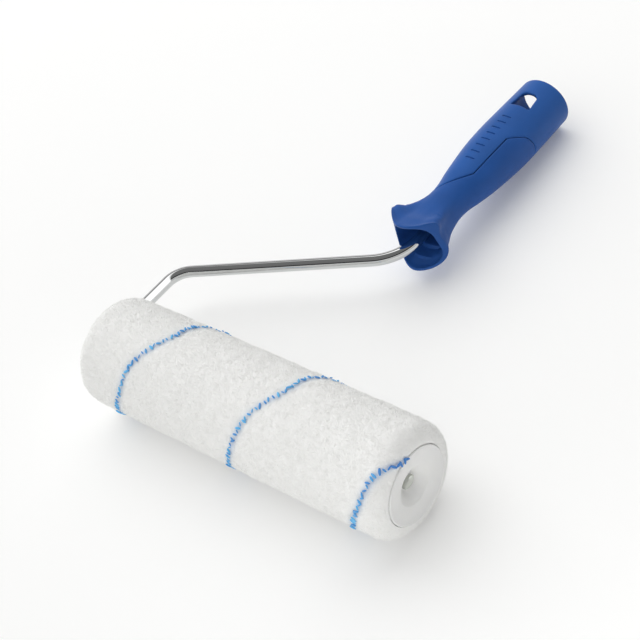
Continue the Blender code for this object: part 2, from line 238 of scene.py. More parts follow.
# Bright chromium over polished steel: a cool grey mirror, dulled a little by handling, with
# faint drawing marks along the rod.
chrome, tree, shader = new_material("bright_chromium_plate")
dulled = remap(tree, speckle(tree, 9.0, 3.0), 0.35, 0.75, 0.04, 0.09)
tree.links.new(dulled, shader.inputs["Roughness"])
emboss(tree, shader, speckle(tree, 2.5), 0.04, 0.1)
shader.inputs["Base Color"].default_value = linear("#D2D3D3")
shader.inputs["Metallic"].default_value = 1.0

# The pinched end is bare where the jaws broke the plating: duller, faintly warm steel.
cut_steel, tree, shader = new_material("bare_cut_steel")
emboss(tree, shader, speckle(tree, 1.2, 3.0), 0.3, 0.3)
shader.inputs["Base Color"].default_value = linear("#C6C9C2")
shader.inputs["Metallic"].default_value = 0.7
shader.inputs["Roughness"].default_value = 0.36

sweep, given = new_tree("rod_sweep", [("Radius", "Float"), ("Sides", "Int"),
                                      ("Finish", "Material")])
ring = add(sweep, "GeometryNodeCurvePrimitiveCircle",
           {"Radius": given["Radius"], "Resolution": given["Sides"]})
tube = add(sweep, "GeometryNodeCurveToMesh", {"Curve": given["Geometry"],
                                              "Profile Curve": ring.outputs["Curve"],
                                              "Fill Caps": True})
smooth = add(sweep, "GeometryNodeSetShadeSmooth", {"Geometry": tube.outputs["Mesh"]})
real = add(sweep, "GeometryNodeRealizeInstances", {"Geometry": smooth.outputs["Geometry"]})
deliver(sweep, real.outputs["Geometry"], given["Finish"])


def curve_through(name, points):
    """A straight-sided curve object through world points."""
    curve = bpy.data.curves.new(name, "CURVE")
    curve.dimensions = "3D"
    spline = curve.splines.new("POLY")
    spline.points.add(len(points) - 1)
    for slot, point in zip(spline.points, points):
        slot.co = (*point, 1.0)
    return link(name, curve)


def pinch(mesh):
    """Squeezes the rod's tip to a blunt lens, as the crimping jaws leave it."""
    here = to_tool([v.co for v in mesh.vertices])
    near = np.clip((here[:, 0] - ROD_TIP_X + PINCH_LENGTH) / (0.5 * PINCH_LENGTH), 0.0, 1.0)
    near = np.where(abs(here[:, 1]) < 2.0 * ROD_RADIUS, near, 0.0)
    turn = math.radians(PINCH_TURN)
    long_way = here[:, 1] * math.cos(turn) + here[:, 2] * math.sin(turn)
    short_way = here[:, 2] * math.cos(turn) - here[:, 1] * math.sin(turn)
    point = 1.0 - PINCH_LENS * (long_way / ROD_RADIUS) ** 2
    long_way = long_way * (1.0 + near * (PINCH_WIDE - 1.0))
    short_way = short_way * (1.0 + near * (PINCH_THIN * point - 1.0))
    chamfer = np.clip((here[:, 0] - ROD_TIP_X) / TIP_CHAMFER + 1.0, 0.0, 1.0) * near
    long_way = long_way * (1.0 - TIP_NARROWING[0] * chamfer)
    short_way = short_way * (1.0 - TIP_NARROWING[1] * chamfer)
    here[:, 1] = long_way * math.cos(turn) - short_way * math.sin(turn)
    here[:, 2] = short_way * math.cos(turn) + long_way * math.sin(turn)
    mesh.vertices.foreach_set("co", to_world(here).ravel())
    mesh.update()


path = curve_through("rod_path", to_world(rod_path()))
rod = grow(path, sweep, {"Radius": ROD_RADIUS * MM, "Sides": ROD_SIDES, "Finish": chrome},
           "bent_rod")
bpy.data.objects.remove(path)
pinch(rod.data)
weld(rod.data, 0.01, 28.0, ROD_END_DOME)
rod.data.materials.append(cut_steel)
for face in rod.data.polygons:
    x, y, _ = to_tool([face.center])[0]
    if x > ROD_TIP_X - BARE_TIP and abs(y) < 2.0 * ROD_RADIUS:
        face.material_index = 1
settle(rod, "frame", "chromed_rod", "wire_frame")


# ---- Hard handle -----------------------------------------------------------------------
# The stiff inside of the handle, injection moulded in blue polypropylene round the rod's
# end.  It shows on top as a long window and behind as the plain hollow tail, which takes
# an extension pole and has a hole to hang it by.

GRIP_THICKNESS = 1.7
SKIN_GAP = 0.45
GROOVE_HALF_WIDTH = 0.22       # of the fine line where the two plastics meet
EDGE_FALL = 0.5                # how much the plastics round off towards that line
EDGE_REACH = 0.9
CORE_FRONT_Y = 139.0
MOUTH_Y = 114.6
HANDLE_END_Y = 236.6
END_EDGE_ROUND = 1.0
SOCKET_RADIUS = 12.6
SOCKET_BOTTOM_RADIUS = 10.9
SOCKET_BOTTOM_Y = 188.0
SOCKET_EDGE = 0.3
SOCKET_CORNER = 0.8
BORE_CLEARANCE = 0.3
BORE_SPARE = 1.0               # left between the rod's end and the bottom of its bore
CORE_BEVEL = 0.8
HOLE_TURN = 5.0
HOLE_CUT_LOW = 4.0
HOLE_CUT_HIGH = 22.0
HOLE_FALL = 0.35               # how much the shell rounds off at the hole's edge
HOLE_REACH = 0.9
BAR_COUNT = 8
BAR_PITCH = 4.7
BAR_FIRST_Y = 171.0
BAR_LENGTH = 5.2
BAR_WIDTH = 0.9
BAR_DEPTH = 0.4
BAR_TURN = 2.0

# y, x and height of the middle, half width, half height, squareness, turn of the section
HANDLE_STATIONS = [
    (MOUTH_Y, 2.2, 1.6, 12.4, 14.6, 3.1, -9.4),
    (118.0, 2.0, 0.9, 12.3, 14.3, 2.7, -10.0),
    (123.0, 1.4, 1.3, 11.9, 12.9, 2.5, -9.0),
    (129.0, 1.0, 1.0, 10.8, 11.4, 2.65, -7.0),
    (137.0, 0.0, 1.4, 9.9, 10.2, 2.5, -4.0),
    (146.0, -0.5, 1.5, 9.5, 9.7, 2.0, -1.0),
    (154.0, -0.5, 1.6, 9.9, 10.0, 1.95, 0.0),
    (162.0, -0.3, 1.6, 11.3, 11.2, 2.0, 0.0),
    (171.0, 0.0, 1.6, 12.6, 12.6, 2.0, 0.0),
    (181.0, 0.0, 1.4, 13.7, 13.7, 2.0, 0.0),
    (190.0, 0.0, 1.0, 14.3, 14.3, 2.0, 0.0),
    (200.0, 0.0, 0.5, 14.6, 14.6, 2.0, 0.0),
    (212.0, 0.0, 0.1, 14.5, 14.5, 2.0, 0.0),
    (224.0, 0.0, -0.2, 14.3, 14.3, 2.0, 0.0),
    (HANDLE_END_Y, 0.0, -0.5, 14.1, 14.1, 2.0, 0.0),
]
WING_ANGLE = 48.0              # the thumb rest stands out at these angles from the top
WING_SPREAD = 15.0
WING_UNDERSIDE = 8.0
LEFT_WING_HEIGHT = 6.5
RIGHT_WING_HEIGHT = 3.3
WING_Y = 118.5
WING_FRONT = 9.4
WING_BACK = 16.2
WING_FADE = 2.4
MOUTH_BOW = 0.048

# The line between the plastics, as angle from the top and y: round the left side and under
# the handle, across the front of the window, and round the right side.
LEFT_SIDE = -60.5
RIGHT_SIDE = 35.5
LINE_LEFT = [(-179.0, 204.6), (-140.0, 204.6), (-106.0, 204.6), (-80.0, 203.4),
             (-66.0, 201.8), (LEFT_SIDE, 199.0)]
LINE_FRONT = [(LEFT_SIDE, 160.0), (-54.0, 152.0), (-44.0, 149.0), (-26.0, 150.2),
              (-6.0, 153.6), (10.0, 157.0), (24.0, 160.6), (RIGHT_SIDE, 164.4)]
LINE_RIGHT = [(RIGHT_SIDE, 191.4), (43.0, 194.6), (52.0, 197.9), (62.0, 200.8),
              (76.0, 202.9), (95.0, 204.4), (112.0, 204.6), (181.0, 204.6)]
WINDOW_RADIUS = 13.5           # of the handle beside the window, on average
MM_PER_DEGREE = 0.24           # round the handle, on average
ANGLE_STEP = 2.0               # degrees between the columns of the handle's skins
CROWD = (0.0, 0.3, 0.7, 1.2)   # extra rings this far from the line, to round it off
SIDE_CROWD = (0.04, 0.9, 1.9, 3.2)         # the same beside the window's sides, in degrees


def eased(table, at, column):
    """Reads one column of a table at a place, eased between its rows."""
    last = len(table) - 1
    if at <= table[0][0]:
        return table[0][column]
    if at >= table[last][0]:
        return table[last][column]
    i = max(k for k in range(last) if table[k][0] <= at)
    before = table[max(i - 1, 0)]
    start = table[i]
    end = table[i + 1]
    after = table[min(i + 2, last)]
    span = end[0] - start[0]
    t = (at - start[0]) / span
    slope_in = (end[column] - before[column]) / (end[0] - before[0]) * span
    slope_out = (after[column] - start[column]) / (after[0] - start[0]) * span
    return ((2 * t ** 3 - 3 * t ** 2 + 1) * start[column] + (t ** 3 - 2 * t ** 2 + t) * slope_in
            + (3 * t ** 2 - 2 * t ** 3) * end[column] + (t ** 3 - t ** 2) * slope_out)


def plain_radius(angle, y):
    """The handle's outer radius at an angle from its top, without the thumb rest."""
    half_width, half_height, squareness = (eased(HANDLE_STATIONS, y, k) for k in (3, 4, 5))
    across = abs(math.sin(math.radians(angle)) / half_width) ** squareness
    upward = abs(math.cos(math.radians(angle)) / half_height) ** squareness
    return (across + upward) ** (-1.0 / squareness)


def wing_height(angle, y):
    """How far the thumb rest's wings stand out there.  The left one drops off crisply on
    its underside."""
    reach = WING_FRONT if y < WING_Y else WING_BACK
    fade = math.exp(-(abs(y - WING_Y) / reach) ** WING_FADE)
    spread = WING_UNDERSIDE if angle < -WING_ANGLE else WING_SPREAD
    wing = math.exp(-((abs(angle) - WING_ANGLE) / spread) ** 2)
    height = LEFT_WING_HEIGHT if angle < 0.0 else RIGHT_WING_HEIGHT
    return height * fade * wing


def handle_radius(angle, y):
    """The handle's outer radius at an angle from its top, wings included."""
    return plain_radius(angle, y) + wing_height(angle, y)


def handle_point(angle, y, radius):
    """A point of the handle from its cylinder coordinates; the mouth bows back sideways."""
    turned = math.radians(angle + eased(HANDLE_STATIONS, y, 6))
    x = radius * math.sin(turned) + eased(HANDLE_STATIONS, y, 1)
    z = radius * math.cos(turned) + eased(HANDLE_STATIONS, y, 2)
    bow_fade = max(0.0, 1.0 - (y - MOUTH_Y) / (CORE_FRONT_Y - MOUTH_Y))
    return (x, y + MOUTH_BOW * bow_fade * x * x, z)


def line_y(angle, left, right):
    """y of the line between the plastics, with the window's sides at left and right."""
    if angle < left:
        return eased(LINE_LEFT, min(angle, LEFT_SIDE), 1)
    if angle > right:
        return eased(LINE_RIGHT, max(angle, RIGHT_SIDE), 1)
    share = (angle - left) / (right - left)
    return eased(LINE_FRONT, LEFT_SIDE + share * (RIGHT_SIDE - LEFT_SIDE), 1)


def window_sides(shift):
    """The window's side angles, moved out by shift mm at the handle's usual radius."""
    widen = math.degrees(shift / WINDOW_RADIUS)
    return LEFT_SIDE - widen, RIGHT_SIDE + widen


def corner_y(angle, left, right):
    """y where a column's rings change over, level with the window's nearest corners."""
    if left < angle < right:
        share = (angle - left) / (right - left)
        return LINE_LEFT[-1][1] + share * (LINE_RIGHT[0][1] - LINE_LEFT[-1][1])
    share = (angle - right) % 360.0 / (360.0 - right + left)
    return LINE_FRONT[-1][1] + share * (LINE_FRONT[0][1] - LINE_FRONT[-1][1])


def spread(start, end, count, towards_end=False):
    """Even steps from start to end, with a few more crowded against one of the two."""
    if end - start < 2.0 * CROWD[-1]:
        return [start] * (count + len(CROWD))
    if towards_end:
        return [*np.linspace(start, end - CROWD[-1], count + 1)] + [end - c for c in CROWD[-2::-1]]
    return [start + c for c in CROWD[:-1]] + [*np.linspace(start + CROWD[-1], end, count + 1)]


def handle_angles(left, right):
    """Even steps round the handle, crowded towards the window's two sides."""
    crowd = [side + hand * away for side in (left, right) for hand in (-1.0, 1.0)
             for away in SIDE_CROWD]
    even = np.arange(-180.0, 180.0, ANGLE_STEP)
    clear = SIDE_CROWD[-1] + 0.5 * ANGLE_STEP
    kept = [a for a in even if min(abs(a - left), abs(a - right)) > clear]
    return sorted(kept + crowd)


def across(angles, columns, radius_at):
    """Rings of points round the handle.  Each angle has its own column of y values, and
    radius_at gives the radius at an angle and y."""
    return [[handle_point(a, y, radius_at(a, y)) for a, y in zip(angles, ys)]
            for ys in zip(*columns)]


def level(angles, ys, radius_at):
    """The same with one set of y values for all angles."""
    return across(angles, [ys] * len(angles), radius_at)


def part_way(starts, shares):
    """Columns of y at these shares of the way from the core's front to each start."""
    return [[CORE_FRONT_Y + share * (start - CORE_FRONT_Y) for share in shares]
            for start in starts]


def sunk(angle, y, *sinks):
    """The handle's outer radius, lowered where the surface sinks."""
    radius = handle_radius(angle, y)
    return radius - sum(sink(handle_point(angle, y, radius)) for sink in sinks)


def core_radius(angle, y):
    """Radius of the hard core under the grip's skin."""
    return plain_radius(angle, y) - GRIP_THICKNESS - SKIN_GAP


def skin(name, rings, loop=False, start=None, end=None):
    """A mesh over equal rings of points in the tool's frame.  loop joins the last ring to
    the first; start and end are points that close the two ends."""
    rings = np.asarray(rings, float)
    count, sides = rings.shape[:2]
    points = [rings.reshape(-1, 3)]
    here = np.arange(sides)
    after = (here + 1) % sides
    faces = []
    for row in range(count if loop else count - 1):
        low = row * sides
        high = (row + 1) % count * sides
        faces += np.stack((low + here, low + after, high + after, high + here), 1).tolist()
    for pole, row in ((start, 0), (end, count - 1)):
        if pole is not None:
            tip = sum(len(p) for p in points)
            points.append(np.array([pole], float))
            faces += [(tip, row * sides + k, row * sides + n) for k, n in zip(here, after)]
    mesh = bpy.data.meshes.new(name)
    mesh.from_pydata(to_world(np.concatenate(points)).tolist(), [], faces)
    weld(mesh, 0.002, 38.0)
    return mesh


def drop_near(lines, fall, reach):
    """A function giving how far a surface point sinks near lines, each a list of points."""
    near = [p for line in lines for p in line]
    tree = kdtree.KDTree(len(near))
    for k, p in enumerate(near):
        tree.insert(p, k)
    tree.balance()

    def sink(point):
        """How far this point sinks."""
        away = tree.find(point)[2]
        return fall * max(0.0, 1.0 - away / reach) ** 2
    return sink


def surface_line(ends, step=0.15):
    """Closely spaced points on the handle's surface through (angle, y) corners."""
    points = []
    for (a0, y0), (a1, y1) in zip(ends[:-1], ends[1:]):
        around = (a1 - a0) * MM_PER_DEGREE
        count = max(2, int(math.hypot(around, y1 - y0) / step))
        for k in range(count):
            a = a0 + (a1 - a0) * k / count
            y = y0 + (y1 - y0) * k / count
            points.append(handle_point(a, y, handle_radius(a, y)))
    return points


def hole_outline():
    """The hanging hole seen from above: a straight front and an arched back, as x and y."""
    half_front = 5.4
    half_back = 4.6
    front_y = 214.2
    arch_y = 221.4
    arch = 4.1
    outline = [(-half_front + 0.4, front_y), (half_front - 0.4, front_y),
               (half_front, front_y + 0.5)]
    for k in range(17):
        t = math.pi * k / 16
        outline.append((half_back * math.copysign(abs(math.cos(t)) ** 0.8, math.cos(t)),
                        arch_y + arch * math.sin(t) ** 0.8))
    outline.append((-half_front, front_y + 0.5))
    return outline


def bar_outline(y):
    """One bar across the top of the handle, with round ends, as (angle, y)."""
    half = BAR_LENGTH / 2.0 - BAR_WIDTH / 2.0
    outline = []
    for k in range(16):
        t = 2.0 * math.pi * (k + 0.5) / 16
        across = math.copysign(half, math.sin(t)) + BAR_WIDTH / 2.0 * math.sin(t)
        around = math.degrees(across / handle_radius(0.0, y))
        outline.append((BAR_TURN + around, y + BAR_WIDTH / 2.0 * math.cos(t)))
    return outline


def block(name, low, high):
    """A closed block between two rings, used as a cutter."""
    return link(name, skin(name, [low, high], start=np.mean(low, 0), end=np.mean(high, 0)))


def cut(piece, cutter):
    """Cuts one object out of another and removes the cutter."""
    modifier = piece.modifiers.new("cut", "BOOLEAN")
    modifier.object = cutter
    modifier.solver = "EXACT"
    mesh = baked(piece, piece.name)
    piece.modifiers.clear()
    piece.data = mesh
    bpy.data.objects.remove(cutter)


def moulded_plastic(name, code, roughness, grain, depth):
    """Blue moulded plastic: spark-eroded grain in mm, and a faint mottle from the flow."""
    material, tree, shader = new_material(name)
    tint = remap(tree, speckle(tree, 14.0), 0.3, 0.7, 0.94, 1.06)
    colour = add(tree, "ShaderNodeHueSaturation", {"Value": tint, "Color": linear(code)})
    sparks = speckle(tree, grain)
    rough = remap(tree, sparks, 0.3, 0.7, roughness - 0.05, roughness + 0.05)
    tree.links.new(colour.outputs["Color"], shader.inputs["Base Color"])
    tree.links.new(rough, shader.inputs["Roughness"])
    emboss(tree, shader, sparks, 0.35, depth)
    return material, shader


# Polypropylene, satin from a lightly spark-eroded mould: a deep even blue with a broad dim
# highlight.  The grain is drawn at 0.5 mm, coarser than the real 0.1 mm, so that it shows.
hard_blue, shader = moulded_plastic("satin_polypropylene", "#2A5AA2", 0.4, 0.5, 0.03)
shader.inputs["IOR"].default_value = 1.49
shader.inputs["Specular IOR Level"].default_value = 0.14

left, right = window_sides(-GROOVE_HALF_WIDTH)
angles = handle_angles(left, right)
plastics_line = surface_line([(a, line_y(a, LEFT_SIDE, RIGHT_SIDE))
                              for a in np.arange(-180.0, 180.01, 0.5)])
round_off = drop_near([plastics_line], EDGE_FALL, EDGE_REACH)
hole_edge = [(HOLE_TURN + math.degrees(math.asin(x / handle_radius(0.0, y))), y)
             for x, y in hole_outline()]
hole_off = drop_near([surface_line(hole_edge + hole_edge[:1])], HOLE_FALL, HOLE_REACH)

bore = ROD_RADIUS + BORE_CLEARANCE
bore_end = ROD_END_Y + BORE_SPARE
rings = [[(bore * math.sin(math.radians(a)), y, bore * math.cos(math.radians(a)))
          for a in angles] for y in (bore_end, CORE_FRONT_Y)]
for y, bevel in ((CORE_FRONT_Y, CORE_BEVEL), (CORE_FRONT_Y + CORE_BEVEL / 2.0, 0.0)):
    rings.append([handle_point(a, y, core_radius(a, CORE_FRONT_Y) - bevel) for a in angles])
starts = [line_y(a, left, right) + GROOVE_HALF_WIDTH for a in angles]
rings += across(angles, part_way(starts, np.linspace(0.08, 1.0, 16)), core_radius)
tail_end = HANDLE_END_Y - END_EDGE_ROUND
columns = []
for a, start in zip(angles, starts):
    change = corner_y(a, left, right) if left < a < right else start
    columns.append(spread(start, change, 70) + spread(change, tail_end, 90))
rings += across(angles, columns, lambda a, y: sunk(a, y, round_off, hole_off))
for t in np.radians(np.linspace(15.0, 90.0, 6)):
    rings.append([handle_point(a, tail_end + END_EDGE_ROUND * math.sin(t),
                               handle_radius(a, tail_end)
                               - END_EDGE_ROUND * (1.0 - math.cos(t))) for a in angles])
for y, radius in ((HANDLE_END_Y, SOCKET_RADIUS + SOCKET_EDGE),
                  (HANDLE_END_Y - SOCKET_EDGE, SOCKET_RADIUS),
                  (SOCKET_BOTTOM_Y + SOCKET_CORNER, SOCKET_BOTTOM_RADIUS),
                  (SOCKET_BOTTOM_Y, SOCKET_BOTTOM_RADIUS - SOCKET_CORNER)):
    rings.append([handle_point(a, y, radius) for a in angles])
handle = link("hard_handle", skin("hard_handle", rings, start=(0.0, bore_end, 0.0),
                                  end=handle_point(0.0, SOCKET_BOTTOM_Y, 0.0)))

hole_turn = math.radians(HOLE_TURN)
low, high = ([(x * math.cos(hole_turn) + height * math.sin(hole_turn), y,
               height * math.cos(hole_turn) - x * math.sin(hole_turn))
              for x, y in hole_outline()] for height in (HOLE_CUT_LOW, HOLE_CUT_HIGH))
cut(handle, block("hole_cutter", low, high))
for k in range(BAR_COUNT):
    outline = bar_outline(BAR_FIRST_Y + k * BAR_PITCH)
    low, high = ([handle_point(a, y, handle_radius(a, y) + away) for a, y in outline]
                 for away in (-BAR_DEPTH, 1.0))
    cut(handle, block("bar_cutter", low, high))
handle.data.materials.clear()
handle.data.materials.append(hard_blue)
settle(handle, "frame", "hard_blue", "handle_shell")


# ---- Soft grip -------------------------------------------------------------------------
# A soft thermoplastic elastomer moulded over the hard handle: a thin skin round the neck
# and the sides, which opens in front into a deep mouth round the rod, with the thumb rest
# as the mouth's upper lip.

MOUTH_WALL = 1.8
LIP_ROUND = 0.9
LIP_STEPS = 9
MOUTH_STEP = 0.7               # y between the rings of the mouth
OPEN_FLOOR = -30.0             # no ledge in front: the wall itself is the floor
LEDGES = ((120.8, -9.3), (127.8, -6.8))    # y and height of two flat ledges in the mouth
LEDGE_SOFTNESS = 0.25
BORE_CLEAR = 6.0               # radius that the ledges leave open round the rod
CREASE_DEPTH = 0.4
CREASE_REACH = 0.9
LEFT_CREASE = [(-50.0, 130.2), (-42.0, 128.6), (-33.0, 126.4)]
RIGHT_CREASE = [(35.0, 130.6), (41.0, 130.4), (47.0, 129.0)]


def grip_wall(y):
    """Wall thickness of the grip: the mouth's wall in front, the thin skin behind."""
    t = min((y - MOUTH_Y) / (CORE_FRONT_Y - MOUTH_Y), 1.0)
    return MOUTH_WALL + t * (GRIP_THICKNESS - MOUTH_WALL)


def skin_inside(angle, y):
    """Radius of the grip's inner face; the wings of the thumb rest are solid."""
    return plain_radius(angle, y) - grip_wall(y)


def floor_height(y):
    """Height of the mouth's floor, which steps up towards the back in flat ledges."""
    height = OPEN_FLOOR
    for edge, level in LEDGES:
        height += (level - height) * (0.5 + 0.5 * math.tanh((y - edge) / LEDGE_SOFTNESS))
    return height


def mouth_inside(angle, y):
    """Radius of the mouth's inside: the wall's inner face, cut short by the ledges."""
    radius = skin_inside(angle, y)
    down = math.cos(math.radians(angle + eased(HANDLE_STATIONS, y, 6)))
    if down > -0.05:
        return radius
    drop = (floor_height(y) - eased(HANDLE_STATIONS, y, 2)) / down
    return max(BORE_CLEAR, min(radius, drop))


# Elastomer, duller than the hard plastic and a shade deeper, with the same spark grain.
soft_blue, shader = moulded_plastic("matte_elastomer", "#28569E", 0.46, 0.6, 0.04)
shader.inputs["IOR"].default_value = 1.5
shader.inputs["Specular IOR Level"].default_value = 0.14

left, right = window_sides(GROOVE_HALF_WIDTH)
angles = handle_angles(left, right)
creases = drop_near([surface_line(LEFT_CREASE), surface_line(RIGHT_CREASE)],
                    CREASE_DEPTH, CREASE_REACH)
starts = [line_y(a, left, right) - GROOVE_HALF_WIDTH for a in angles]
mouth_ys = list(np.arange(MOUTH_Y + LIP_ROUND, CORE_FRONT_Y, MOUTH_STEP))
columns = []
for a, start in zip(angles, starts):
    change = start if left < a < right else corner_y(a, left, right)
    columns.append(spread(CORE_FRONT_Y, change, 40, True) + spread(change, start, 60, True))
outer = level(angles, mouth_ys, lambda a, y: sunk(a, y, creases))
outer += across(angles, columns, lambda a, y: sunk(a, y, round_off))
inner = level(angles, mouth_ys, mouth_inside)
inner += across(angles, part_way(starts, (0.0, 0.3, 0.6, 0.9, 1.0)), skin_inside)
lip = []
for k in range(LIP_STEPS):
    t = math.pi * (k + 0.5) / LIP_STEPS
    share = 0.5 - 0.5 * math.cos(t)
    y = MOUTH_Y + LIP_ROUND * (1.0 - math.sin(t) ** 0.7)
    ring = []
    for a in angles:
        outside = handle_radius(a, MOUTH_Y + LIP_ROUND)
        inside = mouth_inside(a, MOUTH_Y + LIP_ROUND)
        ring.append(handle_point(a, y, inside + share * (outside - inside)))
    lip.append(ring)
grip = link("soft_grip_skin", skin("soft_grip_skin", lip + outer + inner[::-1], loop=True))
grip.data.materials.append(soft_blue)
settle(grip, "frame", "soft_blue", "soft_grip")


# ---- Sleeve core and end caps ----------------------------------------------------------
# The sleeve's core is an extruded polypropylene tube.  Two caps of the same plastic,
# moulded without pigment, plug its ends; their hubs turn on the rod, and the pinched tip
# holds the outer one on.

GAP = 0.3
SLEEVE_MIDDLE_X = -2.7
CORE_RADIUS = 18.4
CORE_WALL = 1.5
CORE_CHAMFER = 0.3
CAP_FACE = 91.2
CAP_RIM_THICKNESS = 1.5
CAP_RIM_ROUND = 0.55
CAP_RIM_WIDTH = 0.9
CAP_RIM_STEP = 0.3             # the web starts this far below the rim
CAP_RIM_FILLET = 0.6
CAP_BACK_ROUND = 0.25
CAP_PLUG_LENGTH = 14.0
CAP_WALL = 1.6
CAP_STEP_RADIUS = 9.4
CAP_DISH_DEPTH = 1.4
CAP_CONE_DROP = 0.5
CAP_HUB_RADIUS = 6.4
CAP_HUB_DEPTH = 6.2
CAP_HUB_LENGTH = 16.0
CAP_HUB_TAPER = 0.8
CAP_CONE_ROUND = 0.4
TIP_RECESS_RADIUS = 4.2
TIP_RECESS_EDGE = 0.5
CAP_SIDES = 128
CORE_SIDES = 96


def turned(name, profile, sides=CAP_SIDES):
    """Turns a closed profile of (x, radius) about the roller's axis."""
    turns = 2.0 * math.pi * np.arange(sides) / sides
    rings = [np.stack((np.full(sides, x), r * np.cos(turns), r * np.sin(turns)), 1)
             for x, r in profile]
    return skin(name, rings, loop=True)


def arc(centre, radius, start, stop, steps):
    """Points of an arc in (x, radius) space, for a rounded edge."""
    return [(centre[0] + radius * math.cos(math.radians(t)),
             centre[1] + radius * math.sin(math.radians(t)))
            for t in np.linspace(start, stop, steps + 1)]


def cap_profile():
    """The cap's section: rim, shallow sloping web, deeper cone, hub and plug."""
    plug = CORE_RADIUS - CORE_WALL - GAP
    rim_back = CAP_FACE - CAP_RIM_THICKNESS
    bore = ROD_RADIUS + GAP
    hub_face = CAP_FACE - CAP_HUB_DEPTH
    hub_end = hub_face - CAP_HUB_LENGTH
    dish = CAP_FACE - CAP_DISH_DEPTH
    rim = CORE_RADIUS - CAP_RIM_ROUND
    inside_rim = CORE_RADIUS - CAP_RIM_WIDTH
    plug_end = rim_back - CAP_PLUG_LENGTH
    web_top = CAP_FACE - CAP_RIM_STEP
    web_edge = inside_rim - CAP_RIM_FILLET
    step = CAP_STEP_RADIUS
    profile = [(rim_back, rim)]
    profile += arc((rim_back + CAP_BACK_ROUND, CORE_RADIUS - CAP_BACK_ROUND), CAP_BACK_ROUND,
                   180.0, 90.0, 3)
    profile += arc((CAP_FACE - CAP_RIM_ROUND, rim), CAP_RIM_ROUND, 90.0, 0.0, 6)
    profile += [(CAP_FACE - 0.05, inside_rim + 0.15), (CAP_FACE - 0.2, inside_rim - 0.1),
                (web_top, web_edge)]
    for t in np.linspace(0.125, 1.0, 8):
        profile.append((web_top + (dish - web_top) * t ** 1.3,
                        web_edge + t * (step + 0.35 - web_edge)))
    cone = dish - CAP_CONE_DROP
    cone_end = TIP_RECESS_RADIUS + TIP_RECESS_EDGE
    profile += [(dish - 0.12, step + 0.1), (cone + 0.1, step - 0.1)]
    for t in np.linspace(0.0, 1.0, 9):
        profile.append((cone - (cone - hub_face - CAP_CONE_ROUND) * t ** 1.15,
                        step - 0.3 + t * (cone_end - step + 0.3)))
    profile += [(hub_face, TIP_RECESS_RADIUS), (hub_face, bore), (hub_end, bore),
                (hub_end, CAP_HUB_RADIUS - CAP_HUB_TAPER),
                (hub_face - 2.0 * CAP_WALL, CAP_HUB_RADIUS), (dish - 2.0 * CAP_WALL, step + 1.0),
                (rim_back - CAP_WALL, plug - CAP_WALL), (plug_end, plug - CAP_WALL),
                (plug_end, plug - 0.4), (plug_end + 0.6, plug), (rim_back, plug)]
    return profile


def blend(tree, share, first, second):
    """Mixes two colours."""
    return add(tree, "ShaderNodeMix", {"Factor": share, "A": first, "B": second},
               data_type="RGBA").outputs[2]


# Natural polypropylene: milky white, a little translucent, with a soft waxy highlight.
milky, tree, shader = new_material("natural_polypropylene")
flow = speckle(tree, 7.0, 3.0)
cloud = blend(tree, flow, linear("#ECECEA"), linear("#F2F2F0"))
tree.links.new(cloud, shader.inputs["Base Color"])
tree.links.new(remap(tree, flow, 0.3, 0.7, 0.34, 0.46), shader.inputs["Roughness"])
emboss(tree, shader, speckle(tree, 0.8), 0.1, 0.02)
shader.inputs["IOR"].default_value = 1.49
shader.inputs["Subsurface Weight"].default_value = 0.5
shader.inputs["Subsurface Radius"].default_value = (3.0 * MM, 3.0 * MM, 2.8 * MM)
shader.inputs["Subsurface Scale"].default_value = 1.0

half = CAP_FACE - CAP_RIM_THICKNESS - GAP
core_inner = CORE_RADIUS - CORE_WALL
core_edge = CORE_RADIUS - CORE_CHAMFER
core_profile = [(SLEEVE_MIDDLE_X + side * (half - cut_back), radius)
                for side, cut_back, radius in
                ((-1, CORE_CHAMFER, CORE_RADIUS), (1, CORE_CHAMFER, CORE_RADIUS),
                 (1, 0.0, core_edge), (1, 0.0, core_inner),
                 (-1, 0.0, core_inner), (-1, 0.0, core_edge))]
core = link("core_tube", turned("core_tube", core_profile, CORE_SIDES))
core.data.materials.append(milky)
settle(core, "roller", "white_plastic", "sleeve_core")
for name, side, node in (("outer_cap", 1.0, "outer_end_cap"),
                         ("inner_cap", -1.0, "inner_end_cap")):
    placed = [(SLEEVE_MIDDLE_X + side * x, radius) for x, radius in cap_profile()]
    cap = link(name, turned(name, placed))
    cap.data.materials.append(milky)
    settle(cap, "roller", "white_plastic", node)


# ---- Nap -------------------------------------------------------------------------------
# The cover is a strip of knitted polyester plush wound round the core and bonded to it.
# Its pile stands about 8 mm high and is brushed down over both edges; here a dense base
# holds the body of the pile, and close-set fibre tips stand on it.

NAP_RADIUS = 26.7
NAP_INNER_RADIUS = 18.7
NAP_FREE_END_X = 88.0
NAP_FREE_ROUND = 7.6
NAP_BENT_END_X = -93.0
NAP_BENT_ROUND = 5.5
TIP_HEIGHT = 0.4               # how far the tips stand out of the base
TIP_LENGTH = 0.9
TIP_WIDTH = 0.26
TIP_FLATNESS = 0.35            # thickness of a tip as a share of its width
TIP_LEAN = 1.1
TIP_SWIRL = 3.2                # how much neighbouring tips lean the same way
LOCK_SIZE = 3.0                # width of the patches that lean the same way
TIPS_PER_MM2 = 6.0
NAP_STEP = 0.7
NAP_BANDS = 5
SWELL = 0.16                   # height of the nap's soft unevenness
RUFFLE = 0.05                  # height of the small locks, about 2 mm across
RUFFLE_SIZE = 2.2
OWN_NORMAL = 0.1               # how much a fibre tip's own faces show in its shading
MARKER_X = 21.4                # where the marker yarn crosses the top
MARKER_PITCH = 70.6
MARKER_WANDER = 2.2
MARKER_TINT_REACH = 1.6
COMB_ROUND = 0.22              # how far the pile is brushed round the sleeve
FREE_COMB_REACH = 14.0         # where the brushing over the two ends begins
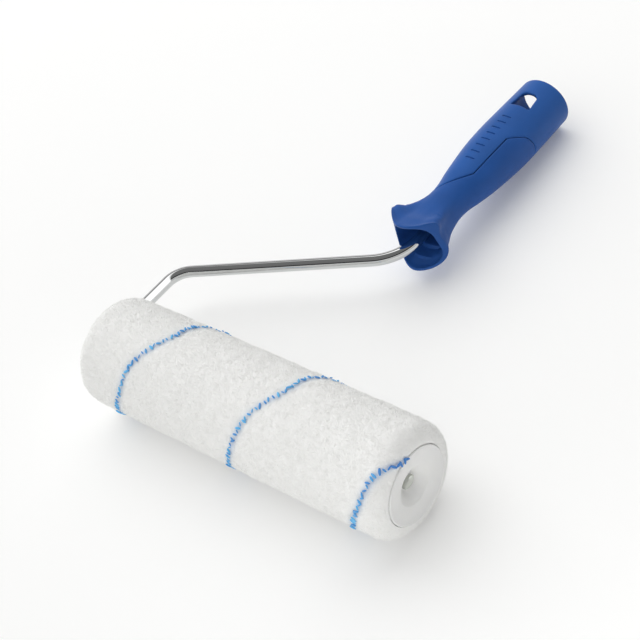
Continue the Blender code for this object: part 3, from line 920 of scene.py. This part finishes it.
BENT_COMB_REACH = 10.0


def nap_section():
    """The base's outer section as (x, radius, share of full pile), bent end first."""
    drop = NAP_RADIUS - NAP_INNER_RADIUS
    full = []
    for end_x, length in ((NAP_BENT_END_X, NAP_BENT_ROUND), (NAP_FREE_END_X, NAP_FREE_ROUND)):
        inward = -math.copysign(1.0, end_x)
        turns = np.radians(np.linspace(0.0, 90.0, 13))
        arch = [(end_x + inward * (length * (1.0 - math.sin(t)) + 0.5 * TIP_HEIGHT),
                 NAP_INNER_RADIUS + (drop - TIP_HEIGHT) * math.cos(t)) for t in turns]
        full.append(arch)
    bent, free = full[0][::-1], full[1]
    count = int((free[0][0] - bent[-1][0]) / NAP_STEP)
    along = np.linspace(bent[-1][0], free[0][0], count + 1)[1:-1]
    flat = [(x, NAP_RADIUS - TIP_HEIGHT) for x in along]
    section = []
    for x, radius in bent + flat + free:
        low = (radius - NAP_INNER_RADIUS) / drop
        section.append((x, radius, 0.45 + 0.55 * min(1.0, 1.3 * low)))
    return section


def swell(x, turn):
    """Slow unevenness of the nap, from a few waves that close round the sleeve."""
    waves = ((0.031, 3, 0.3), (0.057, -5, 1.9), (0.083, 8, 4.0), (0.142, -11, 2.2),
             (0.204, 14, 5.1), (0.331, -19, 0.9))
    total = sum(np.sin(2.0 * math.pi * rate * x + lobes * turn + phase)
                for rate, lobes, phase in waves)
    return SWELL * total / math.sqrt(len(waves))


def over_ends(section):
    """The base's section with x replaced by the distance walked over the rounded ends."""
    xs = np.array([row[0] for row in section])
    radii = np.array([row[1] for row in section])
    walked = np.concatenate(([0.0], np.cumsum(np.hypot(np.diff(xs), np.diff(radii)))))
    middle = len(section) // 2
    return xs, radii, walked - walked[middle] + xs[middle]


def marker_line(turns):
    """Distance along the nap of the marker yarn, after so many radians from +Y to +Z."""
    past_top = (turns - math.pi / 2.0 + math.pi) % (2.0 * math.pi) - math.pi
    wander = np.cos(4.0 * past_top) * np.exp(-(past_top / 1.05) ** 2)
    return MARKER_X - MARKER_PITCH * (turns / (2.0 * math.pi) - 0.25) + MARKER_WANDER * wander


def marker_distance(walked, turn):
    """Distance across the nap to the marker yarn, in mm."""
    away = (walked - marker_line(turn) + MARKER_PITCH / 2.0) % MARKER_PITCH - MARKER_PITCH / 2.0
    lead = MARKER_PITCH / (2.0 * math.pi * NAP_RADIUS)
    return np.abs(away) / math.hypot(1.0, lead)


def nap_rings(section, sides):
    """Rings of the nap's uneven surface, one for each row of its section."""
    turns = 2.0 * math.pi * np.arange(sides) / sides
    rings = []
    for x, radius, share in section:
        locks = np.array([noise.noise(Vector((x, radius * math.cos(t), radius * math.sin(t)))
                                      / RUFFLE_SIZE) for t in turns])
        lift = radius + share * (swell(x, turns) + RUFFLE * locks)
        rings.append(np.stack((np.full(sides, x), lift * np.cos(turns),
                               lift * np.sin(turns)), 1))
    return rings


def give(mesh, name, values, kind="FLOAT"):
    """Stores one value per vertex as a named attribute."""
    attribute = mesh.attributes.new(name, kind, "POINT")
    key = "value" if kind == "FLOAT" else "vector"
    attribute.data.foreach_set(key, np.asarray(values, np.float32).ravel())


def stamp_nap(mesh, section):
    """Stores on the nap's vertices how blue they are, how long the pile is there and
    which way it has been brushed."""
    here = to_tool([v.co for v in mesh.vertices])
    turn = np.arctan2(here[:, 2], here[:, 1])
    xs, _, walked = over_ends(section)
    along = np.interp(here[:, 0], xs, walked)
    tint = np.exp(-(marker_distance(along, turn) / MARKER_TINT_REACH) ** 2)
    give(mesh, "marker", tint * np.interp(along, (60.0, 85.0), (0.7, 1.0)))
    give(mesh, "pile", np.interp(here[:, 0], xs, [row[2] for row in section]))
    over = np.clip((here[:, 0] - NAP_FREE_END_X) / FREE_COMB_REACH + 1.0, 0.0, 1.0)
    over -= np.clip((NAP_BENT_END_X - here[:, 0]) / BENT_COMB_REACH + 1.0, 0.0, 1.0)
    comb = np.stack((over, -COMB_ROUND * np.sin(turn), COMB_ROUND * np.cos(turn)), 1)
    give(mesh, "comb", comb @ np.array(AXES).T, "FLOAT_VECTOR")


def number(tree, operation, first, second):
    """One step of arithmetic on numbers."""
    return add(tree, "ShaderNodeMath", {0: first, 1: second}, operation=operation).outputs[0]


def vector(tree, operation, first, second):
    """One step of arithmetic on vectors; SCALE takes a number as its second."""
    links = {0: first, ("Scale" if operation == "SCALE" else 1): second}
    return add(tree, "ShaderNodeVectorMath", links, operation=operation).outputs[0]


def stored(tree, name, kind="FLOAT_VECTOR"):
    """A named attribute of the points."""
    return add(tree, "GeometryNodeInputNamedAttribute", {"Name": name},
               data_type=kind).outputs["Attribute"]


def any_way(tree, seed):
    """A random vector for each point, between -1 and 1 along each axis."""
    return add(tree, "FunctionNodeRandomValue",
               {"Min": (-1.0, -1.0, -1.0), "Max": (1.0, 1.0, 1.0), "Seed": seed},
               data_type="FLOAT_VECTOR").outputs[0]


def any_number(tree, low, high, seed):
    """A random number for each point."""
    return add(tree, "FunctionNodeRandomValue", {"Min": low, "Max": high, "Seed": seed},
               data_type="FLOAT").outputs[1]


def upright_along(tree, up, along):
    """A rotation whose Z points up, turned about Z until X leans along."""
    raised = add(tree, "FunctionNodeAlignRotationToVector", {"Vector": up}, axis="Z")
    return add(tree, "FunctionNodeAlignRotationToVector",
               {"Rotation": raised.outputs["Rotation"], "Vector": along},
               axis="X", pivot_axis="Z").outputs["Rotation"]


def set_out(tree, points, thing, rotation, scale):
    """Puts a copy of an object on every point, as real mesh."""
    pick = add(tree, "GeometryNodeObjectInfo", {"Object": thing})
    stand = add(tree, "GeometryNodeInstanceOnPoints",
                {"Points": points, "Instance": pick.outputs["Geometry"],
                 "Rotation": rotation, "Scale": scale})
    return add(tree, "GeometryNodeRealizeInstances",
               {"Geometry": stand.outputs["Instances"]}).outputs["Geometry"]


# White polyester plush: matt, bright where light passes between the fibres, and tinted a
# pale blue where stray fibres of the marker yarn mix in.
plush, tree, shader = new_material("white_polyester_plush")
fleece = blend(tree, speckle(tree, 2.2, 3.0), linear("#F7F7F5"), linear("#FDFDFC"))
blue = add(tree, "ShaderNodeAttribute", attribute_name="marker")
stray = number(tree, "MULTIPLY", blue.outputs["Fac"], 0.28)
tree.links.new(blend(tree, stray, fleece, linear("#5C9BDD")), shader.inputs["Base Color"])
shader.inputs["Roughness"].default_value = 0.95
shader.inputs["Specular IOR Level"].default_value = 0.15
shader.inputs["Sheen Weight"].default_value = 0.25
shader.inputs["Sheen Roughness"].default_value = 0.6

# One fibre tip: a slim three-sided spike, one unit high.
fibre_mesh = bpy.data.meshes.new("fibre_tip")
base = [(math.cos(t) * 0.5, math.sin(t) * 0.5, 0.0) for t in np.radians((90.0, 210.0, 330.0))]
fibre_mesh.from_pydata(base + [(0.0, 0.0, 1.0)], [],
                       [(0, 2, 1), (0, 1, 3), (1, 2, 3), (2, 0, 3)])
fibre = link("fibre_tip", fibre_mesh)

pile, given = new_tree("pile", [("Density", "Float"), ("Length", "Float"), ("Width", "Float"),
                                ("Lean", "Float"), ("Lock size", "Float"), ("Seed", "Int"),
                                ("Fibre", "Object"), ("Finish", "Material")])
spots = add(pile, "GeometryNodeDistributePointsOnFaces",
            {"Mesh": given["Geometry"], "Density": given["Density"], "Seed": given["Seed"]})
normal = spots.outputs["Normal"]
locks = add(pile, "ShaderNodeTexNoise",
            {"Scale": number(pile, "DIVIDE", 1.0, given["Lock size"]), "Detail": 2.0})
swirl = vector(pile, "SUBTRACT", locks.outputs["Color"], (0.5, 0.5, 0.5))
messy = vector(pile, "ADD", any_way(pile, 5), vector(pile, "SCALE", swirl, TIP_SWIRL))
leaned = vector(pile, "SCALE", messy, given["Lean"])
way = vector(pile, "ADD", vector(pile, "ADD", leaned, stored(pile, "comb")), normal)
height = number(pile, "MULTIPLY", given["Length"], stored(pile, "pile", "FLOAT"))
height = number(pile, "MULTIPLY", height, any_number(pile, 0.78, 1.15, 11))
flat = number(pile, "MULTIPLY", given["Width"], TIP_FLATNESS)
scale = add(pile, "ShaderNodeCombineXYZ", {"X": flat, "Y": given["Width"], "Z": height})
known = add(pile, "GeometryNodeStoreNamedAttribute",
            {"Geometry": spots.outputs["Points"], "Name": "lie", "Value": normal},
            data_type="FLOAT_VECTOR", domain="POINT")
real = set_out(pile, known.outputs["Geometry"], given["Fibre"],
               upright_along(pile, way, normal), scale.outputs["Vector"])
own = vector(pile, "SCALE", add(pile, "GeometryNodeInputNormal").outputs["Normal"], OWN_NORMAL)
calm = add(pile, "ShaderNodeVectorMath", {0: vector(pile, "ADD", stored(pile, "lie"), own)},
           operation="NORMALIZE")
smooth = add(pile, "GeometryNodeSetMeshNormal",
             {"Mesh": real, "Custom Normal": calm.outputs["Vector"]},
             mode="FREE", domain="POINT")
deliver(pile, smooth.outputs["Mesh"], given["Finish"])

section = nap_section()
nap_sides = int(2.0 * math.pi * NAP_RADIUS / NAP_STEP)
rings = nap_rings(section, nap_sides)
inside = [[(p[0], p[1] * NAP_INNER_RADIUS / math.hypot(p[1], p[2]),
            p[2] * NAP_INNER_RADIUS / math.hypot(p[1], p[2])) for p in rings[k]]
          for k in (-1, 0)]
base = link("nap_base", skin("nap_base", rings + inside, loop=True))
stamp_nap(base.data, section)
base.data.materials.append(plush)
settle(base, "roller", "plush", "nap_cover")
for band in range(NAP_BANDS):
    first = band * (len(rings) - 1) // NAP_BANDS
    last = (band + 1) * (len(rings) - 1) // NAP_BANDS
    strip = link("strip", skin("strip", rings[first:last + 1]))
    stamp_nap(strip.data, section)
    tips = grow(strip, pile, {"Density": TIPS_PER_MM2 / MM ** 2, "Length": TIP_LENGTH * MM,
                              "Width": TIP_WIDTH * MM, "Lean": TIP_LEAN,
                              "Lock size": LOCK_SIZE * MM, "Seed": 40 + band,
                              "Fibre": fibre, "Finish": plush},
                f"nap_tips_{band + 1}")
    bpy.data.objects.remove(strip)
    settle(tips, "roller", "plush", "nap_cover")
bpy.data.objects.remove(fibre)


# ---- Marker yarn -----------------------------------------------------------------------
# A blue polyester yarn knitted into the plush strip, so it winds round the sleeve as a
# spiral.  It shows as short slanted loops that come up between the white tufts.

STITCH_STEP = 2.0
STITCH_LENGTH = 3.1
STITCH_WIDTH = 1.2
STITCH_THICKNESS = 1.0
STITCH_TURN = 56.0
STITCH_RISE = 0.25
STITCH_JITTER = 0.4
STITCH_LOOSE = 0.45            # how far a loop's slant strays, in radians
END_TILT = 1.6                 # how far the loops turn outwards over the rounded ends

# Dyed yarn: a clear light blue that varies at random from loop to loop, with painted shade: the
# loops over the rounded free end are mixed towards a deeper blue.
yarn_blue, tree, shader = new_material("dyed_polyester_yarn")
shade = add(tree, "ShaderNodeAttribute", attribute_name="shade")
yarn_tone_and_end_shade = blend(tree, shade.outputs["Fac"], linear("#4784CF"), linear("#69C2F4"))
tree.links.new(yarn_tone_and_end_shade, shader.inputs["Base Color"])
emboss(tree, shader, speckle(tree, 0.5), 0.6, 0.15)
shader.inputs["Roughness"].default_value = 0.85
shader.inputs["Sheen Weight"].default_value = 0.3

stitch_rings = []
for k in range(1, 5):
    t = math.pi * k / 5
    turns = 2.0 * math.pi * np.arange(6) / 6
    stitch_rings.append(np.stack((np.full(6, -0.5 * math.cos(t)),
                                  0.5 * math.sin(t) * np.cos(turns),
                                  0.5 * math.sin(t) * np.sin(turns)), 1))
stitch = link("stitch", skin("stitch", stitch_rings, start=(-0.5, 0.0, 0.0),
                             end=(0.5, 0.0, 0.0)))
stitch.data.transform(TOOL.inverted())
stitch.data.transform(Matrix.Scale(1.0 / MM, 4))

loops, given = new_tree("marker_loops", [("Length", "Float"), ("Width", "Float"),
                                         ("Thickness", "Float"), ("Slant", "Float"),
                                         ("Jitter", "Float"), ("Seed", "Int"),
                                         ("Loop", "Object"), ("Finish", "Material")])
spots = add(loops, "GeometryNodeMeshToPoints", {"Mesh": given["Geometry"]})
headed = upright_along(loops, stored(loops, "out"), stored(loops, "along"))
index = add(loops, "GeometryNodeInputIndex").outputs["Index"]
side = remap(loops, number(loops, "MODULO", index, 2.0), 0.0, 1.0, -1.0, 1.0)
slant = number(loops, "ADD", number(loops, "MULTIPLY", side, given["Slant"]),
               any_number(loops, -STITCH_LOOSE, STITCH_LOOSE, given["Seed"]))
spin = add(loops, "ShaderNodeCombineXYZ", {"Z": slant})
turned_by = add(loops, "FunctionNodeEulerToRotation", {"Euler": spin.outputs["Vector"]})
final = add(loops, "FunctionNodeRotateRotation",
            {"Rotation": headed, "Rotate By": turned_by.outputs["Rotation"]},
            rotation_space="LOCAL")
shape = add(loops, "ShaderNodeCombineXYZ", {"X": given["Length"], "Y": given["Width"],
                                            "Z": given["Thickness"]})
sized = vector(loops, "SCALE", shape.outputs["Vector"], any_number(loops, 0.6, 1.1, 3))
shift = vector(loops, "SCALE", any_way(loops, 17), given["Jitter"])
moved = add(loops, "GeometryNodeSetPosition", {"Geometry": spots.outputs["Points"],
                                               "Offset": shift})
real = set_out(loops, moved.outputs["Geometry"], given["Loop"],
               final.outputs["Rotation"], sized)
deliver(loops, real, given["Finish"])

xs, radii, walked = over_ends(section)
first_turn, last_turn = (math.pi / 2.0 + (MARKER_X - end) * 2.0 * math.pi / MARKER_PITCH
                         for end in (walked[-1] - 1.0, walked[0] + 1.0))
turn_length = math.hypot(2.0 * math.pi * NAP_RADIUS, MARKER_PITCH)
stitch_count = int((last_turn - first_turn) / (2.0 * math.pi) * turn_length / STITCH_STEP)
turns = np.linspace(first_turn, last_turn, stitch_count)
line = marker_line(turns) + 0.35 * np.sin(3.7 * turns) + 0.25 * np.sin(8.3 * turns + 1.0)
line = np.clip(line, walked[0], walked[-1])
centre_xs = np.interp(line, walked, xs)
centre_radii = np.interp(line, walked, radii) + swell(centre_xs, turns) + STITCH_RISE
outward = np.stack((np.zeros_like(turns), np.cos(turns), np.sin(turns)), 1)
outward[:, 0] = END_TILT * np.interp(line, (-96.0, -88.0, 82.0, 92.0), (-1.0, 0.0, 0.0, 1.0))
centres = outward * TIP_HEIGHT
centres[:, 0] += centre_xs
centres[:, 1] += centre_radii * np.cos(turns)
centres[:, 2] += centre_radii * np.sin(turns)
forward = np.gradient(centres, axis=0)
draws = np.random.default_rng(12)
# Painted shade: loops from 80 to 88 mm along, over the rounded free end, are darkened towards the
# deeper blue.
free_end_shade = np.interp(line, (80.0, 88.0), (0.0, 1.0))
shades = draws.uniform(0.25, 1.0, stitch_count) * (1.0 - 0.9 * free_end_shade)
spots_mesh = bpy.data.meshes.new("yarn_spots")
spots_mesh.from_pydata(to_world(centres).tolist(), [], [])
give(spots_mesh, "out", outward @ np.array(AXES).T, "FLOAT_VECTOR")
give(spots_mesh, "along", forward @ np.array(AXES).T, "FLOAT_VECTOR")
give(spots_mesh, "shade", shades)
yarn_spots = link("yarn_spots", spots_mesh)
yarn = grow(yarn_spots, loops, {"Length": STITCH_LENGTH * MM, "Width": STITCH_WIDTH * MM,
                                "Thickness": STITCH_THICKNESS * MM,
                                "Slant": math.radians(STITCH_TURN), "Jitter": STITCH_JITTER * MM,
                                "Seed": 7, "Loop": stitch, "Finish": yarn_blue},
            "marker_yarn")
bpy.data.objects.remove(yarn_spots)
bpy.data.objects.remove(stitch)
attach(yarn, "roller")


# ---- Table, light and camera -----------------------------------------------------------
# A pale table with a faint glow of its own, one large soft light high behind the roller's
# bent end, a small weak fill beside its free end, and a camera above that end.

TABLE_SIZE = 8000.0
CAMERA_PLACE = (404.17, -271.49, 495.27)
CAMERA_AIM = (-11.17, 58.57, 0.0)
CAMERA_ROLL = -18.75
CAMERA_LENS = 87.27

corners = [(-1, -1), (1, -1), (1, 1), (-1, 1)]
table_mesh = bpy.data.meshes.new("table")
table_mesh.from_pydata([(x * TABLE_SIZE / 2 * MM, y * TABLE_SIZE / 2 * MM, 0.0)
                        for x, y in corners], [], [(0, 1, 2, 3)])
table = link("table", table_mesh)
pale, tree, shader = new_material("pale_laminate_table")
shader.inputs["Base Color"].default_value = linear("#F2F2F1")
shader.inputs["Roughness"].default_value = 0.6
shader.inputs["Emission Color"].default_value = linear("#FFFFFF")
shader.inputs["Emission Strength"].default_value = 0.12
table_mesh.materials.append(pale)

# The surroundings are a white tent, darker on the side of the bent end, to everything but
# the bright metal.  That mirrors a studio: light low down in front, a black edge higher up,
# grey overhead, and white behind.  Past the table stands a plain pale wall.
world = bpy.data.worlds.new("studio")
bpy.context.scene.world = world
world.use_nodes = True
tree = world.node_tree
tree.nodes.clear()
way = add(tree, "ShaderNodeTexCoord").outputs["Generated"]
split = add(tree, "ShaderNodeSeparateXYZ", {"Vector": way})


def levels(stops):
    """Grey levels by height above the horizon, from 0 at the horizon to 1 overhead."""
    ramp = add(tree, "ShaderNodeValToRGB", {"Fac": split.outputs["Z"]})
    while len(ramp.color_ramp.elements) < len(stops):
        ramp.color_ramp.elements.new(0.5)
    for element, (at, level) in zip(ramp.color_ramp.elements, stops):
        element.position = at
        element.color = (level, level, level, 1.0)
    return ramp.outputs["Color"]


ahead = levels([(0.0, 0.70), (0.12, 0.60), (0.40, 0.80), (0.48, 0.012), (0.64, 0.010),
                (0.72, 0.19), (0.95, 0.21)])
behind_left = levels([(0.0, 0.80), (0.45, 0.70), (0.54, 0.14), (0.68, 0.14), (0.78, 1.6),
                      (0.95, 1.7)])
behind_right = levels([(0.0, 1.0), (0.06, 0.20), (0.16, 1.6), (0.95, 1.7)])
to_right = remap(tree, split.outputs["X"], -0.05, 0.15, 0.0, 1.0)
to_back = remap(tree, split.outputs["Y"], 0.28, 0.40, 0.0, 1.0)
behind = blend(tree, to_right, behind_left, behind_right)
mirrored = blend(tree, to_back, ahead, behind)
facing = add(tree, "ShaderNodeVectorMath", {0: way, 1: (-0.75, -0.66, 0.0)},
             operation="DOT_PRODUCT")
glow = remap(tree, facing.outputs["Value"], -1.0, 1.0, 0.04, 1.02)
tent = add(tree, "ShaderNodeBackground", {"Color": linear("#FFFFFF"), "Strength": glow})
studio = add(tree, "ShaderNodeBackground", {"Color": mirrored})
wall = add(tree, "ShaderNodeBackground", {"Color": linear("#FCFCFC")})
ray = add(tree, "ShaderNodeLightPath")
room = add(tree, "ShaderNodeMixShader", {"Fac": ray.outputs["Is Glossy Ray"],
                                         1: tent.outputs["Background"],
                                         2: studio.outputs["Background"]})
both = add(tree, "ShaderNodeMixShader", {"Fac": ray.outputs["Is Camera Ray"],
                                         1: room.outputs["Shader"],
                                         2: wall.outputs["Background"]})
add(tree, "ShaderNodeOutputWorld", {"Surface": both.outputs["Shader"]})


def soft_light(name, azimuth, elevation, distance, size, power):
    """A square area light round the tool; azimuth 0 is -Y and 90 is +X, as for views."""
    data = bpy.data.lights.new(name, "AREA")
    data.shape = "RECTANGLE"
    data.size, data.size_y = (side * MM for side in size)
    data.energy = power
    lamp = link(name, data)
    a, e = math.radians(azimuth), math.radians(elevation)
    way = Vector((math.sin(a) * math.cos(e), -math.cos(a) * math.cos(e), math.sin(e)))
    lamp.location = way * distance * MM
    lamp.rotation_euler = way.to_track_quat("Z", "Y").to_euler()
    lamp.visible_camera = False
    lamp.visible_glossy = False


soft_light("key_left", -130.0, 54.0, 2000.0, (3400.0, 2600.0), 34.0)
soft_light("fill_front", 50.0, 15.0, 420.0, (400.0, 200.0), 0.2)

camera = link("camera", bpy.data.cameras.new("camera"))
camera.data.lens = CAMERA_LENS
camera.data.sensor_width = 36.0
place, aim = (Vector(to_world([p])[0]) for p in (CAMERA_PLACE, CAMERA_AIM))
level_turn = (Vector(CAMERA_AIM) - Vector(CAMERA_PLACE)).to_track_quat("-Z", "Y")
roll = Matrix.Rotation(math.radians(CAMERA_ROLL), 4, "Z")
camera.matrix_world = (Matrix.Translation(place) @ AXES.to_4x4()
                       @ level_turn.to_matrix().to_4x4() @ roll)
bpy.context.scene.camera = camera
bpy.context.scene.view_settings.view_transform = "Standard"
